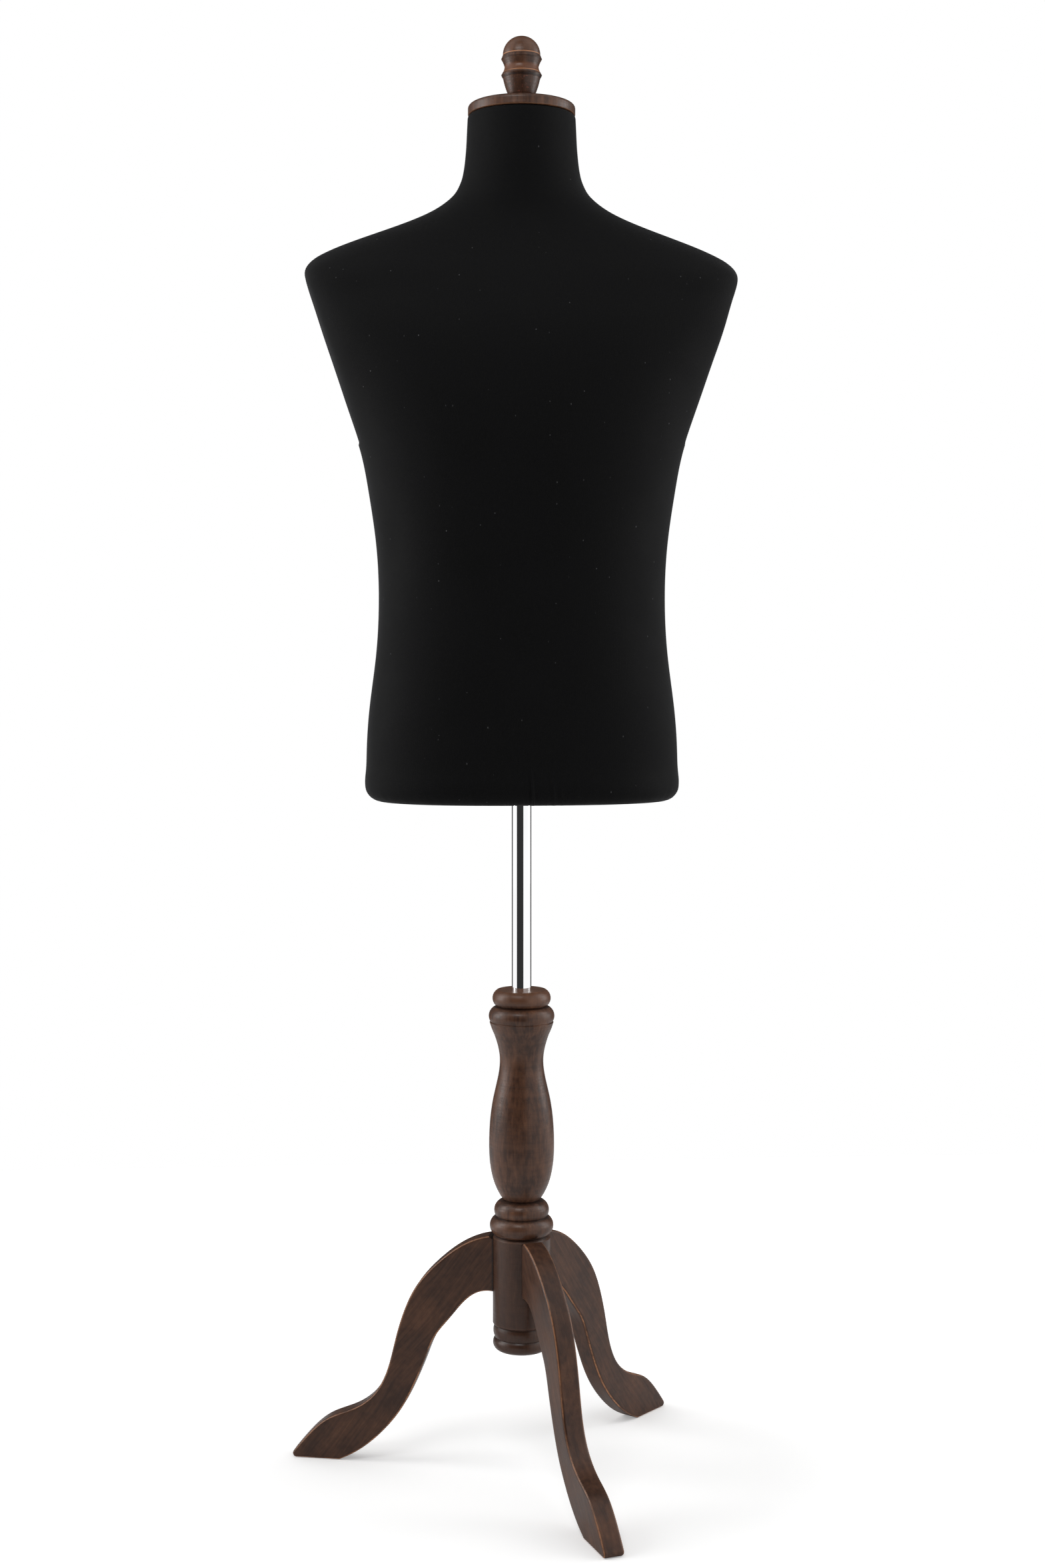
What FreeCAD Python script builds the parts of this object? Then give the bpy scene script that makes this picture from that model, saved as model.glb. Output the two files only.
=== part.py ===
import FreeCAD, Part
import math
import os

# Male torso display form on a turned wooden tripod stand, sizes in millimetres.
# The origin is on the floor, on the axis of the pole. Z points up and the torso faces -Y.

# Pole and the pieces that run on it
pole_diameter = 20.0
pole_wall = 1.2
pole_visible_length = 193.5
pole_depth_in_column = 150.0
pole_depth_in_torso = 280.0
running_clearance = 0.05
loose_clearance = 0.3
guide_wall = 2.0
guide_length = 22.0
glide_head = 12.0
glide_stem = 30.0
insert_length = 28.0

# Turned column, from its foot up: button, hub, beads, vase, collar
column_foot_z = 121.0
hub_radius = 29.3
hub_foot_height = 25.0
hub_height = 91.0
foot_bead_bulge = 28.8
foot_groove_radius = 26.9
lower_bead_radius = 32.4
lower_bead_height = 19.0
upper_bead_radius = 27.9
upper_bead_height = 16.5
vase_foot_radius = 18.6
vase_belly_radius = 33.0
vase_belly_height = 58.0
vase_neck_radius = 22.2
vase_neck_height = 145.0
vase_height = 168.0
collar_radius = 33.3
collar_height = 28.5
top_bead_radius = 29.6
top_bead_height = 16.5
groove_depth = 3.2

# Tie bolt that draws the pole down into the column
bolt_diameter = 8.0
bolt_head_width = 13.0
bolt_head_height = 5.3
washer_diameter = 22.0
washer_thickness = 1.6
counterbore_depth = 12.0

# Three sawn legs, seen from the side: distance from the axis and height
leg_count = 3
front_leg_bearing = 287.0
leg_thickness = 21.0
leg_edge_radius = 2.6
leg_top_height = 236.0
leg_joint_height = 60.0
foot_heel_reach = 188.0
foot_toe_reach = 238.0
foot_toe_height = 21.0
joint_gap = 0.25
dowel_diameter = 8.0
dowel_length = 38.0
dowel_depth_in_hub = 17.0
dowel_spacing = 28.0

# Torso: a hollow foam body in a jersey cover
torso_height = 694.0
cover_thickness = 1.2
cover_gap = 0.7
foam_wall = 20.0
bottom_edge_radius = 13.0
bottom_edge_steps = 4
recess_depth = 26.0
board_gap = 3.2
section_points = 28

# Level cuts of the torso with its upper arms: share of the torso's height above its
# bottom, half width, depth in front of the pole axis, depth behind it, squareness
torso_levels = [
    (0.000, 157.0, 111.0, 113.0, 2.60),
    (0.055, 157.4, 110.0, 119.0, 2.60),
    (0.130, 154.6, 108.0, 117.0, 2.55),
    (0.210, 147.8, 107.0, 103.0, 2.50),
    (0.285, 145.0, 108.0, 93.0, 2.45),
    (0.370, 147.5, 111.0, 92.0, 2.45),
    (0.450, 155.4, 116.0, 98.0, 2.45),
    (0.530, 168.5, 120.0, 107.0, 2.45),
    (0.590, 188.0, 120.5, 114.0, 2.40),
    (0.640, 206.0, 117.5, 118.5, 2.35),
    (0.690, 226.0, 109.0, 119.5, 2.25),
    (0.730, 238.0, 97.0, 116.0, 2.15),
    (0.758, 242.0, 87.0, 109.0, 2.10),
    (0.776, 224.0, 80.0, 103.0, 2.05),
    (0.800, 192.5, 71.0, 94.0, 2.00),
    (0.828, 141.0, 61.5, 79.5, 2.00),
    (0.855, 95.0, 56.0, 67.0, 2.00),
    (0.870, 78.5, 55.0, 62.0, 2.00),
    (0.885, 67.8, 54.5, 58.5, 2.00),
    (0.895, 63.9, 54.4, 57.1, 2.00),
    (0.905, 61.1, 54.5, 56.0, 2.00),
    (0.916, 59.3, 54.7, 55.2, 2.00),
    (0.927, 58.1, 54.8, 54.5, 2.00),
    (0.939, 57.2, 54.8, 53.9, 2.00),
    (0.951, 56.5, 54.8, 53.4, 2.00),
    (0.9635, 56.0, 54.6, 53.0, 2.00),
    (0.976, 55.6, 54.4, 52.6, 2.00),
    (0.988, 55.2, 54.2, 52.3, 2.00),
    (1.000, 54.8, 54.0, 52.0, 2.00),
]
# An inner skin also lies lower, by its own inset, where the torso slopes in to the neck:
# the shares of the height at which this begins, is complete, and starts to fade towards the top
slope_begins = 0.66
slope_complete = 0.80
slope_ends = 0.87

# The flat ends that cut the upper arms off: half width and rounding of the rim at the
# armpit and at the shoulder tip, each at a share of the torso's height
armpit_share = 0.520
armpit_half_width = 164.5
armpit_rounding = 3.0
tip_share = 0.765
tip_half_width = 220.5
tip_rounding = 26.0

# Fittings under the torso
board_thickness = 18.0
flange_radius = 38.0
flange_thickness = 4.0
socket_wall = 1.5
socket_neck_radius = 15.0
socket_neck_length = 16.0
socket_shoulder = 8.0
travel_above_pole = 145.0
tube_cap_thickness = 3.0
tube_cap_depth = 10.0
flange_screw_count = 4
flange_screw_circle = 27.0
flange_screw_diameter = 4.5
flange_screw_length = 18.0
lock_screw_diameter = 6.0
lock_knob_radius = 9.0
lock_knob_length = 12.0
lock_knob_gap = 4.0
lock_knob_lobes = 6
lock_tip_gap = 0.1

# Neck block, cap and finial
neck_block_height = 60.0
cap_radius = 54.6
cap_thickness = 11.0
cap_edge_radius = 4.0
finial_height = 70.4
finial_foot_radius = 15.4
finial_foot_height = 4.2
finial_neck_radius = 12.6
finial_cup_radius = 18.8
finial_cup_height = 27.0
finial_ring_radius = 20.7
finial_lower_ring_height = 30.5
finial_waist_radius = 17.3
finial_waist_height = 39.0
finial_upper_ring_height = 47.0
finial_dome_radius = 19.1
finial_dome_height = 50.9
stud_diameter = 8.0
stud_depth_in_block = 32.0
stud_depth_in_finial = 28.0

# Heights that follow from the sizes above
pole_radius = pole_diameter / 2
hub_bottom_z = column_foot_z + hub_foot_height
hub_top_z = hub_bottom_z + hub_height
upper_bead_z = hub_top_z + lower_bead_height
vase_z = upper_bead_z + upper_bead_height
collar_z = vase_z + vase_height
top_bead_z = collar_z + collar_height
column_top_z = top_bead_z + top_bead_height
pole_bottom_z = column_top_z - pole_depth_in_column
torso_bottom_z = column_top_z + pole_visible_length
pole_top_z = torso_bottom_z + pole_depth_in_torso
torso_top_z = torso_bottom_z + torso_height
board_bottom_z = torso_bottom_z + recess_depth
board_top_z = board_bottom_z + board_thickness
flange_bottom_z = board_bottom_z - flange_thickness
neck_bottom_z = flange_bottom_z - socket_neck_length
shoulder_z = board_bottom_z - socket_shoulder
guide_radius = pole_radius + running_clearance + guide_wall
tube_bore_radius = guide_radius + running_clearance
tube_radius = tube_bore_radius + socket_wall
tube_top_z = pole_top_z + glide_head + travel_above_pole
lock_z = (neck_bottom_z + shoulder_z) / 2
bolt_radius = bolt_diameter / 2
stud_radius = stud_diameter / 2
up = FreeCAD.Vector(0, 0, 1)


def point(radius, z):
    """A place on the half plane that a turned piece is drawn on."""
    return FreeCAD.Vector(radius, 0, z)


def cylinder(radius, bottom, top):
    """A round bar on the pole axis."""
    return Part.makeCylinder(radius, top - bottom, FreeCAD.Vector(0, 0, bottom))


def ring(outer, inner, bottom, top):
    """A round tube on the pole axis."""
    return cylinder(outer, bottom, top).cut(cylinder(inner, bottom - 1, top + 1))


def arc(start, middle, end):
    """An arc through three places."""
    return Part.Arc(start, middle, end).toShape()


def line(start, end):
    """A straight edge."""
    return Part.LineSegment(start, end).toShape()


def curve(points):
    """A smooth curve through the given places."""
    spline = Part.BSplineCurve()
    spline.interpolate(points)
    return spline.toShape()


def dome(start, top_z):
    """An arc from a place up to the axis that turns into a part of a ball."""
    rise = top_z - start.z
    radius = (start.x ** 2 + rise ** 2) / (2 * rise)
    angle = math.atan2(start.z - (top_z - radius), start.x)
    middle = (angle + math.pi / 2) / 2
    centre_z = top_z - radius
    return arc(start, point(radius * math.cos(middle), centre_z + radius * math.sin(middle)), point(0, top_z))


def turned(edges):
    """A solid turned round the pole axis from the outline that its edges close."""
    face = Part.Face(Part.Wire(Part.sortEdges(edges)[0]))
    return face.revolve(FreeCAD.Vector(0, 0, 0), up, 360)


def about_axis(shape, bearing):
    """The shape turned about the pole axis."""
    turned_copy = shape.copy()
    turned_copy.rotate(FreeCAD.Vector(0, 0, 0), up, bearing)
    return turned_copy


def column():
    """The turned column, bored for the pole above and for the tie bolt below."""
    button_z = column_foot_z + hub_foot_height / 2
    lower_bead_middle = hub_top_z + lower_bead_height / 2
    upper_bead_middle = upper_bead_z + upper_bead_height / 2 - 1.5
    crease_z = collar_z + collar_height * 0.45
    collar_middle = crease_z + (top_bead_z - crease_z) * 0.45
    belly_z = vase_z + vase_belly_height
    neck_z = vase_z + vase_neck_height
    foot = [
        line(point(0, column_foot_z), point(hub_radius - 5, column_foot_z)),
        arc(point(hub_radius - 5, column_foot_z),
            point(foot_bead_bulge, column_foot_z + 5),
            point(foot_groove_radius, button_z)),
        arc(point(foot_groove_radius, button_z),
            point(foot_bead_bulge, button_z + 6.5),
            point(foot_groove_radius + 0.6, hub_bottom_z)),
        line(point(foot_groove_radius + 0.6, hub_bottom_z), point(hub_radius, hub_bottom_z + 2)),
        line(point(hub_radius, hub_bottom_z + 2), point(hub_radius, hub_top_z - 3)),
        line(point(hub_radius, hub_top_z - 3), point(hub_radius - 3, hub_top_z)),
    ]
    beads = [
        arc(point(hub_radius - 3, hub_top_z), point(lower_bead_radius, lower_bead_middle),
            point(upper_bead_radius - 1.8, upper_bead_z)),
        arc(point(upper_bead_radius - 1.8, upper_bead_z), point(upper_bead_radius, upper_bead_middle),
            point(vase_foot_radius, vase_z)),
    ]
    vase = [
        curve([
            point(vase_foot_radius, vase_z),
            point(vase_belly_radius - 6.0, vase_z + vase_belly_height * 0.26),
            point(vase_belly_radius, belly_z),
            point(vase_belly_radius - 4.6, belly_z + (neck_z - belly_z) * 0.54),
            point(vase_neck_radius, neck_z),
            point(vase_neck_radius + 3.6, collar_z - 6),
            point(upper_bead_radius, collar_z),
        ]),
    ]
    collar = [
        arc(point(upper_bead_radius, collar_z), point(collar_radius - 3.0, collar_z + 5.5),
            point(collar_radius - 0.8, crease_z - 0.8)),
        line(point(collar_radius - 0.8, crease_z - 0.8), point(collar_radius - 1.6, crease_z)),
        arc(point(collar_radius - 1.6, crease_z), point(collar_radius, collar_middle),
            point(top_bead_radius - groove_depth - 1, top_bead_z)),
    ]
    top_bead = [
        arc(point(top_bead_radius - groove_depth - 1, top_bead_z),
            point(top_bead_radius, top_bead_z + top_bead_height * 0.52),
            point(top_bead_radius - 5, column_top_z)),
        line(point(top_bead_radius - 5, column_top_z), point(0, column_top_z)),
        line(point(0, column_top_z), point(0, column_foot_z)),
    ]
    body = turned(foot + beads + vase + collar + top_bead)
    pole_seat = cylinder(pole_radius + running_clearance, pole_bottom_z, column_top_z + 1)
    bolt_way = cylinder(bolt_radius + 0.5, column_foot_z, pole_bottom_z + 1)
    head_room = cylinder(washer_diameter / 2 + 1, column_foot_z - 1, column_foot_z + counterbore_depth)
    body = body.cut(pole_seat).cut(bolt_way).cut(head_room)
    return body.cut(leg_dowels())


def dowel(bearing, z):
    """One dowel across the joint between a leg and the hub."""
    inner_end = hub_radius - dowel_depth_in_hub
    start = FreeCAD.Vector(inner_end, 0, z)
    pin = Part.makeCylinder(dowel_diameter / 2, dowel_length, start, FreeCAD.Vector(1, 0, 0))
    return about_axis(pin, bearing)


def dowel_places():
    """Bearing and height of every dowel."""
    middle = leg_top_height - leg_joint_height / 2
    places = []
    for number in range(leg_count):
        bearing = front_leg_bearing + 360 * number / leg_count
        places.append((bearing, middle + dowel_spacing / 2))
        places.append((bearing, middle - dowel_spacing / 2))
    return places


def leg_dowels():
    """Every dowel of the three leg joints."""
    return Part.makeCompound([dowel(bearing, z) for bearing, z in dowel_places()])


def leg(number):
    """One S-shaped leg, sawn from a plank, with eased edges and a coped end on the hub."""
    inner = hub_radius + joint_gap
    top = leg_top_height
    low = leg_top_height - leg_joint_height
    heel = foot_heel_reach
    toe = foot_toe_reach
    corner = 3.0
    outer_line = curve([
        point(inner + corner, top),
        point(54, top - 7),
        point(84, top - 28),
        point(108, top - 55),
        point(121, top - 82),
        point(130, top - 112),
        point(138, top - 142),
        point(151, top - 166),
        point(172, top - 182),
        point(200, top - 194),
        point(toe - 14, foot_toe_height),
        point(toe - 1.5, 6),
    ])
    inner_line = curve([
        point(heel, 0),
        point(164, 13),
        point(143, 31),
        point(122, 57),
        point(108, 84),
        point(98, 108),
        point(88, 131),
        point(73, 150),
        point(inner + 16, low + 1),
        point(inner - 4, low + 3),
    ])
    outline = [
        outer_line,
        arc(point(toe - 1.5, 6), point(toe - 1.2, 2), point(toe - 5, 0)),
        line(point(toe - 5, 0), point(heel, 0)),
        inner_line,
        line(point(inner - 4, low + 3), point(inner - 4, top - corner)),
        line(point(inner - 4, top - corner), point(inner, top - corner)),
        line(point(inner, top - corner), point(inner + corner, top)),
    ]
    face = Part.Face(Part.Wire(Part.sortEdges(outline)[0]))
    face.translate(FreeCAD.Vector(0, -leg_thickness / 2, 0))
    plank = face.extrude(FreeCAD.Vector(0, leg_thickness, 0))
    eased = [edge for edge in plank.Edges if is_long_side_edge(edge)]
    plank = plank.makeFillet(leg_edge_radius, eased)
    hub = cylinder(hub_radius + joint_gap, low - 20, top + 20)
    shaped = plank.cut(hub)
    shaped = about_axis(shaped, front_leg_bearing + 360 * number / leg_count)
    return shaped.cut(leg_dowels())


def is_long_side_edge(edge):
    """True for the edges along the two sawn sides of a leg, apart from its end on the hub."""
    box = edge.BoundBox
    along_side = box.YLength < 0.001
    return along_side and box.XMax > hub_radius + joint_gap + 0.5 and edge.Length > 6


def pole():
    """The chromed steel pole."""
    return ring(pole_radius, pole_radius - pole_wall, pole_bottom_z, pole_top_z)


def pole_insert():
    """The threaded plug pressed into the pole's lower end."""
    outer = pole_radius - pole_wall - running_clearance
    return ring(outer, bolt_radius, pole_bottom_z, pole_bottom_z + insert_length)


def pole_glide():
    """The nylon glide on the pole's upper end, which steadies the socket tube."""
    stem = cylinder(pole_radius - pole_wall - running_clearance, pole_top_z - glide_stem, pole_top_z)
    head = cylinder(tube_bore_radius - running_clearance, pole_top_z, pole_top_z + glide_head)
    rim = [edge for edge in head.Edges if edge.Length > 10 and edge.BoundBox.ZLength < 0.001]
    return stem.fuse(head.makeChamfer(1.0, rim))


def column_bolt():
    """The hexagon-headed tie bolt, up through the column into the pole."""
    seat = column_foot_z + counterbore_depth - washer_thickness
    shank = cylinder(bolt_radius - running_clearance, seat, pole_bottom_z + insert_length - 4)
    corner = bolt_head_width / math.sqrt(3)
    corners = [point_at(corner, 60 * side, seat - bolt_head_height) for side in range(7)]
    head = Part.Face(Part.makePolygon(corners)).extrude(up * bolt_head_height)
    crown = turned([
        line(point(0, seat - bolt_head_height), point(bolt_head_width / 2 - 0.4, seat - bolt_head_height)),
        line(point(bolt_head_width / 2 - 0.4, seat - bolt_head_height), point(corner + 0.2, seat - 3.6)),
        line(point(corner + 0.2, seat - 3.6), point(corner + 0.2, seat)),
        line(point(corner + 0.2, seat), point(0, seat)),
        line(point(0, seat), point(0, seat - bolt_head_height)),
    ])
    return head.common(crown).fuse(shank)


def point_at(radius, bearing, z):
    """A place given by its distance from the axis, bearing and height."""
    angle = math.radians(bearing)
    return FreeCAD.Vector(radius * math.cos(angle), radius * math.sin(angle), z)


def column_washer():
    """The washer under the tie bolt's head."""
    top = column_foot_z + counterbore_depth
    return ring(washer_diameter / 2, bolt_radius + 0.25, top - washer_thickness, top)


def signed_power(value, power):
    """A power that keeps the sign."""
    return math.copysign(abs(value) ** power, value)


def between_arm_ends(share, at_armpit, at_tip):
    """A size that runs evenly from the armpit to the shoulder tip."""
    return at_armpit + (at_tip - at_armpit) * (share - armpit_share) / (tip_share - armpit_share)


def rounded_limit(value, limit, rounding):
    """The smaller of two sizes, with a rounded change from one to the other."""
    closeness = max(rounding - abs(value - limit), 0) / rounding
    return min(value, limit) - closeness ** 2 * rounding / 4


def torso_outline(level, z, inset):
    """The closed curve of one level cut of the torso, drawn in from the surface by an inset."""
    share, half_width, front, back, squareness = level
    limit = between_arm_ends(share, armpit_half_width, tip_half_width)
    rounding = min(between_arm_ends(share, armpit_rounding, tip_rounding), tip_rounding)
    places = []
    for step in range(section_points):
        angle = 2 * math.pi * step / section_points
        depth = back if math.sin(angle) > 0 else front
        x = half_width * signed_power(math.cos(angle), 2 / squareness)
        y = (depth - inset) * signed_power(math.sin(angle), 2 / squareness)
        width = abs(x)
        if share > armpit_share:
            width = rounded_limit(width, limit, rounding)
        width = width * (1 - inset / half_width)
        places.append(FreeCAD.Vector(math.copysign(width, x), y, z))
    outline = Part.BSplineCurve()
    outline.interpolate(Points=places, PeriodicFlag=True)
    return outline


def torso_section(level, z, inset):
    """The wire of one level cut of the torso."""
    return Part.Wire(torso_outline(level, z, inset).toShape())


def torso_cuts(inset, bottom_z, top_z, rounded):
    """Level, height and inset of every cut of the torso between two heights."""
    cuts = []
    radius = bottom_edge_radius - (bottom_z - torso_bottom_z)
    for step in range(bottom_edge_steps):
        angle = math.pi / 2 * step / bottom_edge_steps
        z = bottom_z + radius * (1 - math.cos(angle))
        inward = radius * (1 - math.sin(angle)) if rounded else 0
        cuts.append((torso_levels[0], z, inset + inward))
    for level in torso_levels[1:-1]:
        slope = (level[0] - slope_begins) / (slope_complete - slope_begins)
        fade = (1 - level[0]) / (1 - slope_ends)
        drop = inset * min(max(slope, 0), 1, fade)
        cuts.append((level, torso_bottom_z + level[0] * torso_height - drop, inset))
    cuts.append((torso_levels[-1], top_z, inset))
    return cuts


def torso_body(inset, bottom_z, top_z):
    """The torso's solid between two heights, an inset inside its surface."""
    sections = [torso_section(*cut) for cut in torso_cuts(inset, bottom_z, top_z, True)]
    return Part.makeLoft(sections, True, False)


def half_outline(cut, side):
    """The front (-1) or rear (1) half of a level cut's curve."""
    outline = torso_outline(*cut)
    first = outline.FirstParameter
    last = outline.LastParameter
    middle = outline.parameter(FreeCAD.Vector(-cut[0][1], 0, cut[1]))
    if side > 0:
        return outline.toShape(first, middle)
    return outline.toShape(middle, last)


def foam_half(side):
    """The front (-1) or rear (1) half of the moulded foam body, lofted through its wall's cuts."""
    inset = cover_thickness + cover_gap
    bottom = torso_bottom_z + inset
    top = torso_top_z - inset
    outside = torso_cuts(inset, bottom, top, True)
    inside = torso_cuts(foam_wall, bottom, top, False)
    sections = []
    for outer_cut, inner_cut in zip(outside, inside):
        outer_edge = half_outline(outer_cut, side)
        inner_edge = half_outline(inner_cut, side)
        sections.append(Part.Wire([
            outer_edge,
            line(outer_edge.lastVertex().Point, inner_edge.lastVertex().Point),
            inner_edge.reversed(),
            line(inner_edge.firstVertex().Point, outer_edge.firstVertex().Point),
        ]))
    return Part.makeLoft(sections, True, False)


def hollow_outline(level, z, gap):
    """The outline of the space inside the foam at one level, smaller by a gap."""
    return torso_section(level, z, foam_wall + gap)


def jersey_cover():
    """The stretched cover: a skin over the foam, turned in under the rim and over the neck."""
    skin = cover_thickness
    outer = torso_body(0, torso_bottom_z, torso_top_z)
    inner = torso_body(skin, torso_bottom_z + skin, torso_top_z - skin)
    opening = Part.Face(hollow_outline(torso_levels[0], torso_bottom_z - 2, 0))
    opening = opening.extrude(up * (2 + 2 * skin))
    stud_hole = cylinder(stud_radius + loose_clearance, torso_top_z - 3, torso_top_z + 3)
    return outer.cut(inner).cut(opening).cut(stud_hole)


def base_board():
    """The plywood board that closes the torso and carries the socket."""
    board = Part.Face(hollow_outline(torso_levels[1], board_bottom_z, board_gap))
    board = board.extrude(up * board_thickness)
    board = board.cut(cylinder(tube_radius + loose_clearance, board_bottom_z - 1, board_top_z + 1))
    return board.cut(flange_screws())


def neck_block():
    """The wooden block inside the neck, drilled for the finial's stud."""
    top = torso_top_z - cover_thickness - cover_gap
    block = Part.Face(hollow_outline(torso_levels[-1], top - neck_block_height, loose_clearance))
    block = block.extrude(up * neck_block_height)
    hole = cylinder(stud_radius, torso_top_z - stud_depth_in_block - 2, torso_top_z)
    return block.cut(hole)


def socket_flange():
    """The turned steel flange under the board: plate, neck and seat for the tube."""
    plate = cylinder(flange_radius, flange_bottom_z, board_bottom_z)
    rim = [edge for edge in plate.Edges if is_ring(edge, flange_radius, flange_bottom_z)]
    plate = plate.makeFillet(1.2, rim)
    neck = cylinder(socket_neck_radius, neck_bottom_z, flange_bottom_z)
    lip = [edge for edge in neck.Edges if is_ring(edge, socket_neck_radius, neck_bottom_z)]
    neck = neck.makeChamfer(0.8, lip)
    flange = plate.fuse(neck).removeSplitter()
    way = cylinder(pole_radius + loose_clearance, neck_bottom_z - 1, board_bottom_z + 1)
    seat = cylinder(tube_radius + running_clearance, shoulder_z, board_bottom_z + 1)
    flange = flange.cut(way).cut(seat).cut(flange_screws())
    thread = Part.makeCylinder(lock_screw_diameter / 2 + running_clearance, socket_neck_radius + 5,
                               FreeCAD.Vector(0, 0, lock_z), FreeCAD.Vector(0, 1, 0))
    return flange.cut(thread)


def is_ring(edge, radius, z):
    """True for a level round edge of that radius at that height."""
    box = edge.BoundBox
    level = abs(box.ZMin - z) < 0.001 and abs(box.ZMax - z) < 0.001
    return level and abs(edge.Length - 2 * math.pi * radius) < 0.01


def flange_screws():
    """The countersunk screws that hold the flange to the board."""
    screws = []
    radius = flange_screw_diameter / 2
    tip_z = flange_bottom_z + flange_screw_length
    for number in range(flange_screw_count):
        bearing = 360 * (number + 0.5) / flange_screw_count
        profile = [
            line(point(0, flange_bottom_z + 0.2), point(2 * radius - 0.3, flange_bottom_z + 0.2)),
            line(point(2 * radius - 0.3, flange_bottom_z + 0.2), point(radius, flange_bottom_z + 2.4)),
            line(point(radius, flange_bottom_z + 2.4), point(radius, tip_z - 4)),
            line(point(radius, tip_z - 4), point(0, tip_z)),
            line(point(0, tip_z), point(0, flange_bottom_z + 0.2)),
        ]
        screw = turned(profile)
        screw.translate(point_at(flange_screw_circle, bearing, 0))
        screws.append(screw)
    return Part.makeCompound(screws)


def socket_tube():
    """The tube inside the torso that slides and turns on the pole's guides."""
    return ring(tube_radius, tube_bore_radius, shoulder_z, tube_top_z)


def tube_cap():
    """The plastic cap on the socket tube's upper end."""
    plug = cylinder(tube_bore_radius - running_clearance, tube_top_z - tube_cap_depth, tube_top_z)
    lid = cylinder(tube_radius + 1, tube_top_z, tube_top_z + tube_cap_thickness)
    rim = [edge for edge in lid.Edges if is_ring(edge, tube_radius + 1, tube_top_z + tube_cap_thickness)]
    return plug.fuse(lid.makeFillet(1.0, rim))


def guide_bush():
    """The nylon bush at the socket's lower end, round the pole."""
    bottom = shoulder_z + running_clearance
    bush = ring(guide_radius, pole_radius + running_clearance, bottom, bottom + guide_length)
    ends = [edge for edge in bush.Edges if abs(edge.Length - 2 * math.pi * guide_radius) < 0.01]
    return bush.makeChamfer(0.6, ends)


def lock_screw():
    """The screw that clamps the socket to the pole."""
    start = pole_radius + lock_tip_gap
    end = socket_neck_radius + lock_knob_gap + lock_knob_length - 3
    radius = lock_screw_diameter / 2
    shank = Part.makeCylinder(radius, end - start, FreeCAD.Vector(0, start, lock_z), FreeCAD.Vector(0, 1, 0))
    tip = [edge for edge in shank.Edges if edge.BoundBox.YMax < start + 0.01]
    return shank.makeChamfer(0.7, tip)


def lock_knob():
    """The lobed knob moulded on the lock screw's outer end."""
    body_radius = lock_knob_radius - 1.2
    lobe_radius = 2.6
    start = FreeCAD.Vector(0, socket_neck_radius + lock_knob_gap, lock_z)
    along = FreeCAD.Vector(0, 1, 0)
    knob = Part.makeCylinder(body_radius, lock_knob_length, start, along)
    for number in range(lock_knob_lobes):
        angle = 2 * math.pi * number / lock_knob_lobes
        offset = lock_knob_radius - lobe_radius
        place = start + FreeCAD.Vector(offset * math.cos(angle), 0, offset * math.sin(angle))
        knob = knob.fuse(Part.makeCylinder(lobe_radius, lock_knob_length, place, along))
    knob = knob.removeSplitter()
    outer_y = start.y + lock_knob_length
    rim = [edge for edge in knob.Edges if edge.BoundBox.YMin > outer_y - 0.01]
    knob = knob.makeFillet(1.0, rim)
    return knob.cut(lock_screw())


def neck_cap():
    """The turned wooden disc on the neck."""
    bottom = torso_top_z
    top = torso_top_z + cap_thickness
    edge = cap_edge_radius
    outline = [
        line(point(0, bottom), point(cap_radius - 1.5, bottom)),
        arc(point(cap_radius - 1.5, bottom), point(cap_radius - 0.4, bottom + 0.5),
            point(cap_radius, bottom + 1.8)),
        line(point(cap_radius, bottom + 1.8), point(cap_radius, top - edge)),
        arc(point(cap_radius, top - edge), point(cap_radius - 0.29 * edge, top - 0.29 * edge),
            point(cap_radius - edge, top)),
        line(point(cap_radius - edge, top), point(0, top)),
        line(point(0, top), point(0, bottom)),
    ]
    return turned(outline).cut(cylinder(stud_radius + loose_clearance, bottom - 1, top + 1))


def finial():
    """The turned finial: foot ring, cup, two sharp rings with a waist between and a dome."""
    base = torso_top_z + cap_thickness
    foot_top = base + finial_foot_height
    cup = base + finial_cup_height
    lower_ring = base + finial_lower_ring_height
    waist = base + finial_waist_height
    upper_ring = base + finial_upper_ring_height
    dome_foot = base + finial_dome_height
    neck = (foot_top + cup) / 2 - 4.5
    outline = [
        line(point(0, base), point(finial_foot_radius - 1, base)),
        arc(point(finial_foot_radius - 1, base), point(finial_foot_radius, (base + foot_top) / 2),
            point(finial_foot_radius - 1, foot_top)),
        arc(point(finial_foot_radius - 1, foot_top), point(finial_neck_radius, foot_top + 2.6),
            point(finial_neck_radius + 1.2, neck)),
        arc(point(finial_neck_radius + 1.2, neck), point(finial_cup_radius - 1.6, cup - 6.5),
            point(finial_cup_radius, cup)),
        line(point(finial_cup_radius, cup), point(finial_ring_radius, lower_ring)),
        line(point(finial_ring_radius, lower_ring), point(finial_ring_radius - 1.4, lower_ring + 2.5)),
        arc(point(finial_ring_radius - 1.4, lower_ring + 2.5), point(finial_waist_radius + 0.4, waist - 2.4),
            point(finial_waist_radius, waist)),
        arc(point(finial_waist_radius, waist), point(finial_ring_radius - 2.1, (waist + upper_ring) / 2),
            point(finial_ring_radius, upper_ring)),
        line(point(finial_ring_radius, upper_ring), point(finial_dome_radius, dome_foot)),
        dome(point(finial_dome_radius, dome_foot), base + finial_height),
        line(point(0, base + finial_height), point(0, base)),
    ]
    hole = cylinder(stud_radius, base - 1, base + stud_depth_in_finial + 1)
    return turned(outline).cut(hole)


def finial_stud():
    """The threaded stud that holds finial and cap down on the neck block."""
    bottom = torso_top_z - stud_depth_in_block
    top = torso_top_z + cap_thickness + stud_depth_in_finial
    return cylinder(stud_radius - running_clearance, bottom, top)


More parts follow.
